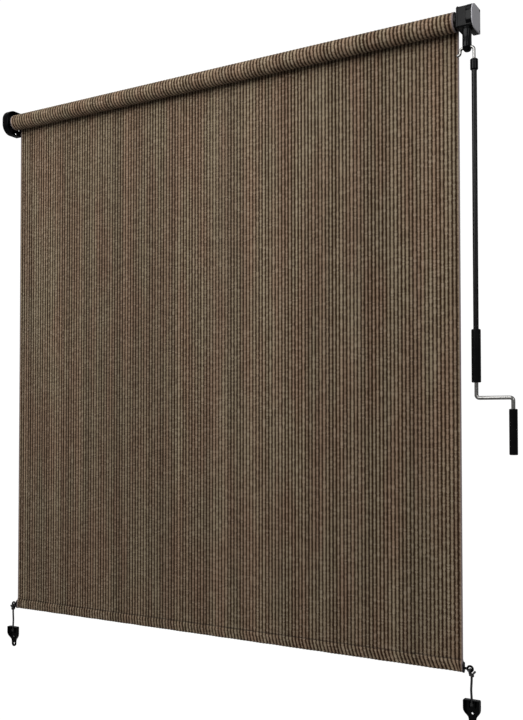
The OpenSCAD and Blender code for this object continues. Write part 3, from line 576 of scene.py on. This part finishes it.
def bracketBars(outer, inward):
    # the screw holes in a bracket's end and in its rear wall, by turns
    b = bracketShape
    sideY, sideZ, sideR = b["sideHole"]
    wallIn, wallZ, wallR = b["wallHole"]
    near, far, wallX = outer - inward * b["past"], outer + inward * b["sideDeep"], outer + inward * wallIn
    bars = []
    for sign in (-1, 1):
        bars.append(((near, sideY, sign * sideZ), (far, sideY, sign * sideZ), sideR))
        bars.append(((wallX, b["past"], sign * wallZ), (wallX, -b["wallDeep"], sign * wallZ), wallR))
    return bars


def rimSteps(end, outward):
    # over a rim, from the outer face and then back along the inner face
    rim, wall = bracketShape["rim"], bracketShape["wall"]
    outer = [(end - outward * back, inset) for back, inset in rim]
    return outer, [(end - outward * back, wall - inset) for back, inset in reversed(rim)]


def idlerCup():
    i, x, axis = idlerShape, idlerShape["outer"], place["axisY"]
    wall, fillet, past = bracketShape["wall"], bracketShape["fillet"], bracketShape["past"]
    outside, inside = rimSteps(x + i["cup"], 1)
    steps = [(x + back, inset) for back, inset in i["face"]] + outside + inside
    steps += [(x + wall + fillet, wall), (x + wall, wall + fillet)]
    bore = ((x - past, axis, 0), (x + bracketShape["sideDeep"], axis, 0), i["bore"])
    cup = carve(bracketLoft(idlerShape, steps), bracketBars(x, 1) + [bore])
    bossX = x + i["bossEnd"]
    boss = bossMesh((x + i["bossStart"], axis, 0), (bossX, axis, 0), i["boss"], i["bossSides"])
    boss = carve(boss, [((x - past, axis, 0), (bossX + past, axis, 0), i["bore"])])
    return solidPiece("idlerCup", [cup, boss], "gloss", "frame", "idler_bracket")


def crankShell():
    c, outer = crankShape, crankShape["outer"]
    wall, fillet, past = bracketShape["wall"], bracketShape["fillet"], bracketShape["past"]
    inner = outer - c["plate"]
    floorX = inner - wall
    outside, inside = rimSteps(floorX - c["rim"], -1)
    steps = [(inner, 0)] + outside + inside + [(floorX - fillet, wall), (floorX, wall + fillet)]
    low, high, (eyeX, eyeY, nothing) = boxOf("crank_eye")
    room = (high[1] - low[1]) / 2 + c["notch"]
    notch = ((eyeX, eyeY, c["notchLow"]), (eyeX, eyeY, c["notchTop"]), room)
    parts = [carve(bracketLoft(crankShape, steps), bracketBars(outer, -1) + [notch])]
    sideY, sideZ, sideR = bracketShape["sideHole"]
    for z in (-sideZ, sideZ):  # black sleeves through the end plate's holes
        route = [(floorX + c["sleeveIn"], sideY, z), (outer + c["sleeveOut"], sideY, z)]
        bore = ((floorX - past, sideY, z), (outer + past, sideY, z), c["sleeve"])
        parts.append(carve(tubeMesh(route, sideR, mesher["cutSides"]), [bore]))
    return solidPiece("crankShell", parts, "gloss", "frame", "crank_bracket")


def endPlate():
    outer, fillet = crankShape["outer"], bracketShape["fillet"]
    inner = outer - crankShape["plate"]
    steps = [(inner, fillet), (inner + fillet, 0)] + rimSteps(outer, 1)[0]
    plate = carve(bracketLoft(crankShape, steps), bracketBars(outer, -1)[::2])
    return solidPiece("endPlate", [plate], "plate", "frame", "crank_end_plate")


for make in (idlerCup, crankShell, endPlate):
    print("bracket made:", len(make().data.polygons), "faces")


# crank eye: a thick drop with a round hole for the hook
eyeShape = {
    "bar": 0.0075, "hole": 0.00625, "reach": 0.03, "square": 2.7, "sides": 44, "smooth": 3,
    "profile": [  # down from the top, half width in X and in Y, in mm
        (0, 10.6, 10.6), (0.5, 11.8, 11.8), (1.6, 12.4, 12.5), (7, 12.7, 13.0), (15, 12.4, 13.2),
        (25, 12.0, 13.9), (35, 11.8, 15.3), (44, 11.8, 16.4), (52, 11.6, 16.4), (58, 10.8, 14.8),
        (62.3, 9.0, 11.8), (64.8, 6.4, 8.2), (66, 2.8, 3.4),
    ],
}


def eyeDrop():
    e = eyeShape
    low, high, (middleX, middleY, nothing) = boxOf("crank_eye")

    def squared(value):
        return math.copysign(abs(value) ** (2 / e["square"]), value)

    rings = []
    for down, halfX, halfY in smoothRoute(e["profile"], e["smooth"]):
        turns = [2 * math.pi * k / e["sides"] for k in range(e["sides"])]
        rings.append([
            (middleX + squared(math.cos(a)) * halfX / 1000, middleY + squared(math.sin(a)) * halfY / 1000,
             high[2] - down / 1000) for a in turns
        ])
    holeZ = low[2] + e["bar"] + e["hole"]
    hole = ((middleX - e["reach"], middleY, holeZ), (middleX + e["reach"], middleY, holeZ), e["hole"])
    return solidPiece("eyeDrop", [carve(loft(rings), [hole])], "gloss", "eye", "crank_eye")


print("eye made:", len(eyeDrop().data.polygons), "faces")


# anchors: a shield with a raised rim, a slot for the cord and two screw holes
anchorShape = {
    "half": 0.024, "corner": 0.0036, "wall": 0.003, "floor": 0.003, "edge": 0.0008, "fillet": 0.0003,
    "sunk": 0.0022,  # how far the boss and the ribs reach into the floor
    "deep": 0.016, "low": 0.0055, "rimFrom": 0.022, "rimOver": 0.030,  # the rim gets lower from there down
    "slot": 0.0037, "slotDeep": 0.0050, "slotStep": 0.00005, "slotZ": 0.0005, "top": (0.010, 0.016),
    "holes": (-0.03996, -0.06496), "holeR": 0.0035, "past": 0.002, "through": 0.02,
    "boss": 0.0066, "bossDeep": 0.006, "bossSides": 32,
    "ribX": 0.0079, "ribHalf": 0.00125, "ribTop": 0.0008, "ribBevel": 0.0004, "ribDeep": 0.0125,
    "ribLow": -0.0242, "ribHigh": -0.0012, "smooth": 4,
    "side": [  # X and Z of the outline's right half, in mm
        (21.78, -0.27), (22.95, -1.05), (23.73, -2.22), (24, -3.6), (24, -12), (24, -25), (23.4, -32),
        (21.3, -38), (17.6, -43.6), (13.9, -48), (11.6, -52.5), (10.7, -58), (10.6, -65), (9.9, -69.2),
        (7.9, -72.6), (4.4, -75.2), (0, -76),
    ],
}


def anchorOutline():
    # the right half from the top's middle, then its mirror image
    s = anchorShape
    side = smoothRoute([(x / 1000, z / 1000, 0) for x, z in s["side"]], s["smooth"])
    top = (0.0, s["slot"] - s["slotStep"], s["slot"] + s["slotStep"], *s["top"], s["half"] - s["corner"])
    right = [(x, 0.0) for x in top] + [(x, z) for x, z, nothing in side]
    return right + [(-x, z) for x, z in right[-2:0:-1]]


def insetLoop(loop, distance):
    # each point moves inward along the bisector of its two edges
    sharpest = 0.6
    result = []
    for i, (x, z) in enumerate(loop):
        (x0, z0), (x1, z1) = loop[i - 1], loop[(i + 1) % len(loop)]
        before, after = Vector((x - x0, z - z0)).normalized(), Vector((x1 - x, z1 - z)).normalized()
        normals = Vector((before.y, -before.x)), Vector((after.y, -after.x))
        middle = (normals[0] + normals[1]).normalized()
        step = middle * distance / max(sharpest, middle.dot(normals[0]))
        result.append((x + step.x, z + step.y))
    return result


def anchorPiece(side):
    s = anchorShape
    low, high, middle = boxOf("anchor_" + side)
    middleX, back, top = middle[0], high[1], high[2]
    outline = anchorOutline()

    def rimDepth(x, z):
        if z > -s["slotZ"] and abs(x) < s["slot"]:
            return s["slotDeep"]
        t = min(1, max(0, (-z - s["rimFrom"]) / s["rimOver"]))
        return s["deep"] + (s["low"] - s["deep"]) * t * t * (3 - 2 * t)

    def ring(inset, depth):
        loop = insetLoop(outline, inset)
        return [(middleX + x, back - depth(rimDepth(*outline[i])), top + z) for i, (x, z) in enumerate(loop)]

    edge, wall, floor, fillet = s["edge"], s["wall"], s["floor"], s["fillet"]
    rings = [
        ring(edge, lambda d: 0), ring(0, lambda d: edge),
        ring(0, lambda d: d - edge), ring(edge, lambda d: d),
        ring(wall - edge, lambda d: d), ring(wall, lambda d: d - edge),
        ring(wall, lambda d: floor + fillet), ring(wall + fillet, lambda d: floor),
    ]
    holes = [
        ((middleX, back + s["past"], top + z), (middleX, back - s["through"], top + z), s["holeR"])
        for z in s["holes"]
    ]
    bossZ = top + s["holes"][0]
    bossFrom, bossTo = (middleX, back - s["sunk"], bossZ), (middleX, back - s["bossDeep"], bossZ)
    boss = bossMesh(bossFrom, bossTo, s["boss"], s["bossSides"])
    parts = [carve(loft(rings), holes), carve(boss, holes[:1])]
    front, bevel = -s["ribDeep"], s["ribBevel"] - s["ribDeep"]
    half = [(s["ribHalf"], -s["sunk"]), (s["ribHalf"], bevel), (s["ribTop"], front)]
    section = [(-half[0][0], half[0][1])] + half + [(-x, y) for x, y in half[:0:-1]]
    for sign in (-1, 1):
        ribX = middleX + sign * s["ribX"]
        levels = (top + s["ribLow"], top + s["ribHigh"])
        parts.append(loft([[(ribX + x, back + y, z) for x, y in section] for z in levels]))
    return solidPiece("anchor_" + side + "_shield", parts, "gloss", "hem", "anchor_" + side)


# elastic cords between the hem's rings and the anchors
cordShape = {
    "diameter": 0.0065, "length": 0.0722, "beside": 0.004, "sides": 16, "smooth": 5,
    # out and up, in mm
    "route": [(0, 0), (0, -8), (-0.8, -22), (-1.4, -36), (-0.8, -50), (0, -64), (0, -72)],
}
cordX = {side: atEnd(place["ringX"] + cordShape["beside"], side) for side in ends}
cordTop = {side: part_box("tie_cord_" + side)[1][2] for side in ends}
cordPieces = {}
for side, out in ends.items():
    x, y, z = cordX[side], place["panelY"], cordTop[side]
    marks = [(x + out * dx / 1000, y, z + dz / 1000) for dx, dz in cordShape["route"]]
    route = smoothRoute(marks, cordShape["smooth"])
    piece = meshPiece("elasticCord_" + side, *tubeMesh(route, cordShape["diameter"] / 2, cordShape["sides"]))
    cordPieces[side] = (attach(piece, "braid", "hem", "tie_cord_" + side), route)
print("cords made")


# cords' upper knots: a loop through the ring, two wraps and a cut tail
knotShape = {
    "cord": 0.0031, "loop": 0.00675, "loopDrop": 0.0075, "loopThick": 0.97, "wrap": 0.0044, "top": 0.0054,
    "wraps": [  # offset, share of the wrap's radius, axis, wobble, share of the cord's radius
        ((0, 0, 0.0005), 1.0, (0.25, 0.1, 1), 0.0009, 1.0),
        ((-0.0008, 0, 0.0012), 0.95, (0.75, 0.55, 0.55), 0.0008, 0.95),
    ],
    "tailWay": (0.66, 0.75), "tailY": -0.0012,
    "tail": [  # along the tail, share of the cord's radius
        (0.001, 0.95), (0.004, 0.95), (0.007, 0.95), (0.010, 0.95), (0.013, 0.95),
        (0.0158, 0.98), (0.0172, 0.9),
    ],
    "stem": [(-0.0054, 1.0), (-0.002, 1.1), (0.002, 1.1), (0.005, 1.0)],  # up, share of the cord's radius
}


def ringRoute(centre, radius, axis, wobble=0.0, count=28):
    axis = Vector(axis).normalized()
    u = axis.orthogonal().normalized()
    v = axis.cross(u)
    turns = [2 * math.pi * k / count for k in range(count)]
    return [
        tuple(Vector(centre) + radius * (math.cos(a) * u + math.sin(a) * v) + axis * wobble * math.sin(2 * a))
        for a in turns
    ]


def tiedKnot(side):
    k, out, r = knotShape, ends[side], knotShape["cord"]
    middle = Vector((cordX[side], place["panelY"], cordTop[side] + k["top"]))
    loopAt = (atEnd(place["ringX"], side), place["panelY"], place["ringZ"] - k["loopDrop"])
    parts = [tubeMesh(ringRoute(loopAt, k["loop"], (1, 0, 0)), r * k["loopThick"], closed=True)]
    for (x, y, z), wide, (ax, ay, az), wobble, thick in k["wraps"]:
        route = ringRoute(middle + Vector((out * x, y, z)), k["wrap"] * wide, (out * ax, ay, az), wobble)
        parts.append(tubeMesh(route, r * thick, closed=True))
    outward, upward = k["tailWay"]
    tail = [middle + Vector((out * d * outward, k["tailY"], d * upward)) for d, thick in k["tail"]]
    parts.append(tubeMesh(tail, [r * thick for d, thick in k["tail"]]))
    stem = [middle + Vector((0, 0, z)) for z, thick in k["stem"]]
    parts.append(tubeMesh(stem, [r * thick for z, thick in k["stem"]]))
    piece = meshPiece("tiedKnot_" + side, *joinMeshes(parts))
    return attach(piece, "braid", "hem", "cord_knot_" + side)


# cords' stop knots inside the anchors
stopShape = {
    "cord": 0.0026, "wobble": 0.0005, "count": 24, "sides": 12,
    "turns": [  # up, radius, axis, share of the cord's radius
        (0.0018, 0.0028, (0.2, 0.1, 1), 1.0), (-0.0018, 0.0027, (-0.3, 0.2, 1), 0.95),
    ],
    "stem": [(0.0048, 0.0030), (0.002, 0.0030), (-0.002, 0.0028), (-0.0048, 0.0022)],  # up, radius
}


def stopKnot(side):
    s = stopShape
    middle = Vector(boxOf("cord_stop_" + side)[2])
    parts = []
    for z, radius, axis, thick in s["turns"]:
        route = ringRoute(middle + Vector((0, 0, z)), radius, axis, s["wobble"], s["count"])
        parts.append(tubeMesh(route, s["cord"] * thick, s["sides"], True))
    stem = [middle + Vector((0, 0, z)) for z, radius in s["stem"]]
    parts.append(tubeMesh(stem, [radius for z, radius in s["stem"]], s["sides"]))
    piece = meshPiece("stopKnot_" + side, *joinMeshes(parts))
    return attach(piece, "braid", "hem", "cord_stop_" + side)


for side in ends:
    upper = tiedKnot(side)
    lower = stopKnot(side)
    piece, route = cordPieces[side]
    anchorPiece(side)
print("knots tied")


# hanging cloth: a corrugated rib knit, drawn straight by the hem bar
clothShape = {
    "perRib": 8, "rows": 30, "wave": 0.00055, "flatEdge": 0.004, "behind": 0.0008,
    "sway": 0.0006, "longSway": (5.1, 0.7), "shortSway": (13.7, 2.1, 0.5),
}
ribCount = round(clothWidth / place["pitch"])


def ribColumns(perRib):
    step = place["pitch"] / perRib
    return [place["left"] + step * i for i in range(ribCount * perRib + 1)]


def ribHeight(x):
    # height of the corrugation at a place across the cloth, -1 to 1, flat at the edges
    turn = (x - place["left"]) / place["pitch"] * 2 * math.pi
    near = min(x - place["left"], place["right"] - x)
    return -math.cos(turn) * min(1, near / clothShape["flatEdge"])


def clothPanel():
    c = clothShape
    columns = ribColumns(c["perRib"])
    longRate, longDrift = c["longSway"]
    shortRate, shortStart, shortShare = c["shortSway"]
    points, places = [], []
    for i in range(c["rows"]):
        t = i / (c["rows"] - 1)
        z = seamZ * t
        loose = math.sin(math.pi * t)
        clear = c["behind"] * (1 - t)  # the top hangs just behind the roll
        for x in columns:
            swing = math.sin(x * longRate + longDrift * t) + shortShare * math.sin(x * shortRate + shortStart)
            y = place["panelY"] - c["wave"] * ribHeight(x) + c["sway"] * loose * swing + clear
            points.append((x, y, z))
            places.append((x - place["left"], -z))
    piece = meshPiece("hangingCloth", points, gridFaces(c["rows"], len(columns)))
    markWeave(piece, places)
    return attach(piece, "knit", "frame", "shade_panel")


panel = clothPanel()
print("cloth hung:", len(panel.data.polygons), "faces")


# wound cloth: one ribbed outer turn, and the layers that show at both ends
rollShape = {
    "perRib": 6, "steps": 64, "outer": 0.0279, "wave": 0.0005,
    "inner": 0.0267, "layers": 3, "layerSides": 56, "layerStep": 0.0010, "layerThick": 0.00062,
    "layerDepth": 0.012, "layerIn": 0.0004, "ragged": [(0.0005, 0.21), (0.0003, 0.53)], "layerAlong": 0.2,
}


def woundCloth():
    r, axis = rollShape, place["axisY"]
    columns = ribColumns(r["perRib"])
    points, places = [], []
    for i in range(r["steps"] + 1):
        a = 2 * math.pi * i / r["steps"]
        for x in columns:
            reach = r["outer"] + r["wave"] * ribHeight(x)
            points.append((x, axis + reach * math.cos(a), reach * math.sin(a)))
            places.append((x - place["left"], -place["panelR"] * a))
    parts = [(points, gridFaces(r["steps"] + 1, len(columns)))]
    count = r["layers"] * r["layerSides"]
    section = [(0, r["layerDepth"]), (0, 0), (-r["layerThick"], 0), (-r["layerThick"], r["layerDepth"])]
    for edge, inward in ((place["left"], 1), (place["right"], -1)):
        ring = []
        for i in range(count + 1):
            a = 2 * math.pi * i / r["layerSides"]
            reach = r["inner"] - r["layerStep"] * i / r["layerSides"]
            shift = inward * (r["layerIn"] + sum(size * math.sin(i * rate) for size, rate in r["ragged"]))
            for dr, dx in section:
                x, radius = edge + shift + inward * dx, reach + dr
                ring.append((x, axis + radius * math.cos(a), radius * math.sin(a)))
                places.append((edge + inward * dx - place["left"], -r["layerAlong"] - reach * a))
        parts.append((ring, gridFaces(count + 1, len(section))))
    piece = meshPiece("woundCloth", *joinMeshes(parts))
    markWeave(piece, places)
    return attach(piece, "rollKnit", "roller", "shade_roll")


roll = woundCloth()
print("roll wound:", len(roll.data.polygons), "faces")


# sewn hem: the cloth goes down the front, round the bar and up the back to the seam
hemShape = {
    "perRib": 6, "half": 0.0060, "straight": 0.0080, "levels": (0.8, 0.3, -0.3, -0.8),
    "round": 0.0061, "roundSteps": 14,
    "shoulder": [  # Y from the cloth, Z from the seam
        (-0.0009, 0.001), (-0.0012, -0.0012), (-0.0022, -0.0032), (-0.0040, -0.0058), (-0.0055, -0.0085),
    ],
    "wave": 0.00045, "seamWave": 0.35, "seamRows": 3, "pucker": 0.0004, "puckerRates": (61, 17, 1),
    "lean": 0.016, "leanEnd": 0.03,  # the cloth is sewn a little askew at the crank end
}


def hemSection():
    # points in Y and Z from the seam at the front, round the bar, to the seam at the back
    h, middle = hemShape, place["barZ"]
    front = [(y, seamZ + z) for y, z in h["shoulder"]]
    front += [(-h["half"], middle + h["straight"] * level) for level in h["levels"]]
    turns = [math.pi * k / h["roundSteps"] for k in range(1, h["roundSteps"])]
    under = [(-h["half"] * math.cos(a), middle - h["straight"] - h["round"] * math.sin(a)) for a in turns]
    return front + under + [(-y, z) for y, z in reversed(front)]


def sewnHem():
    h = hemShape
    columns = ribColumns(h["perRib"])
    section = hemSection()
    last = len(section) - 1
    fastRate, slowRate, slowStart = h["puckerRates"]
    points, places = [], []
    along = -seamZ
    for i, (y, z) in enumerate(section):
        before, after = section[max(i - 1, 0)], section[min(i + 1, last)]
        ty, tz = after[0] - before[0], after[1] - before[1]
        length = math.hypot(ty, tz)
        ny, nz = tz / length, -ty / length
        fromSeam = min(1, min(i, last - i) / h["seamRows"])
        along += math.hypot(y - before[0], z - before[1])
        depth = (section[0][1] - z) / place["hem"]
        for x in columns:
            share = (x - place["left"]) / clothWidth
            slip = h["lean"] * depth * share * min(1, (place["right"] - x) / h["leanEnd"])
            pucker = h["pucker"] * fromSeam * math.sin(x * fastRate) * math.sin(x * slowRate + slowStart)
            up = h["wave"] * ribHeight(x) * (h["seamWave"] + (1 - h["seamWave"]) * fromSeam) + pucker
            points.append((x + slip, place["panelY"] + y + ny * up, z + nz * up))
            places.append((x - place["left"], along))
    piece = meshPiece("sewnHem", points, gridFaces(len(section), len(columns)))
    markWeave(piece, places)
    return attach(piece, "hemKnit", "hem", "shade_hem")


stitchShape = {
    "pitch": 0.0075, "length": 0.0052, "radius": 0.00055, "thin": 0.6, "sides": 6,
    "below": 0.0022, "out": 0.0022, "start": 0.008, "margin": 0.012, "tilt": 0.00025,
    "route": [(-1, 0.0009), (-0.6, 0), (0.6, 0), (1, 0.0009)],  # share of half the length, depth in the cloth
}


def seamStitches():
    # a row of thread stitches along the top of the hem, on both faces
    s = stitchShape
    z = seamZ - s["below"]
    count = int((clothWidth - s["margin"]) / s["pitch"])
    half, thin = s["length"] / 2, s["radius"] * s["thin"]
    parts = []
    for face in (-1, 1):
        y = place["panelY"] + face * s["out"]
        for i in range(count):
            x = place["left"] + s["start"] + s["pitch"] * i
            tilt = random.uniform(-s["tilt"], s["tilt"])
            route = [(x + half * share, y - face * sunk, z + tilt * share) for share, sunk in s["route"]]
            parts.append(tubeMesh(route, [thin, s["radius"], s["radius"], thin], s["sides"]))
    piece = meshPiece("seamStitches", *joinMeshes(parts))
    return attach(piece, "thread", "hem")


hem = sewnHem()
stitches = seamStitches()
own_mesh(panel)
print("hem sewn:", len(stitches.data.polygons), "stitch faces")


# floor, world and lamps
studio = {
    "floorZ": -2.5, "floorHalf": 30, "floorColour": (0.5, 0.5, 0.5, 1), "floorRough": 0.9,
    "glow": 1.08, "glowShare": 0.95, "world": 0.31, "seen": 1.04, "target": (0, 0, -0.8),
    # place, power in W, size in m
    "lamps": [((-0.2, -2.4, 0.6), 62, 1.8), ((4.0, -3.0, 1.3), 60, 2.2), ((0.2, -1.3, 2.4), 26, 2.0)],
}
far = studio["floorHalf"]
corners = [(x * far, y * far, studio["floorZ"]) for x, y in ((-1, -1), (1, -1), (1, 1), (-1, 1))]
floor = meshPiece("floor", corners, [(0, 1, 2, 3)], False)
pale = Finish("pale floor")
pale.fill(Base_Color=studio["floorColour"], Roughness=studio["floorRough"])
seen = pale.add("ShaderNodeLightPath", {}, {}, "Is Camera Ray") * studio["glowShare"]
glow = pale.add("ShaderNodeEmission", {}, {"Strength": studio["glow"]})
both = pale.add("ShaderNodeMixShader", {}, {0: seen, 1: Wire(pale.tree, pale.shader.outputs[0]), 2: glow})
pale.put(both, pale.tree.nodes["Material Output"].inputs[0])
floor.data.materials.append(pale.material)

world = bpy.data.worlds.new("studio")
bpy.context.scene.world = world
world.use_nodes = True
sky = world.node_tree
skySeen = Wire(sky, sky.nodes.new("ShaderNodeLightPath").outputs["Is Camera Ray"])
strength = skySeen * (studio["seen"] - studio["world"]) + studio["world"]
sky.links.new(strength.socket, sky.nodes["Background"].inputs["Strength"])
sky.nodes["Background"].inputs["Color"].default_value = (1, 1, 1, 1)
for i, (spot, power, size) in enumerate(studio["lamps"]):
    lamp = bpy.data.objects.new("lamp%d" % i, bpy.data.lights.new("lamp%d" % i, "AREA"))
    lamp.data.energy, lamp.data.size = power, size
    lamp.location = spot
    lamp.rotation_euler = (Vector(studio["target"]) - Vector(spot)).to_track_quat("-Z", "Y").to_euler()
    bpy.context.collection.objects.link(lamp)
bpy.context.scene.view_settings.view_transform = "Standard"
print("studio lit")
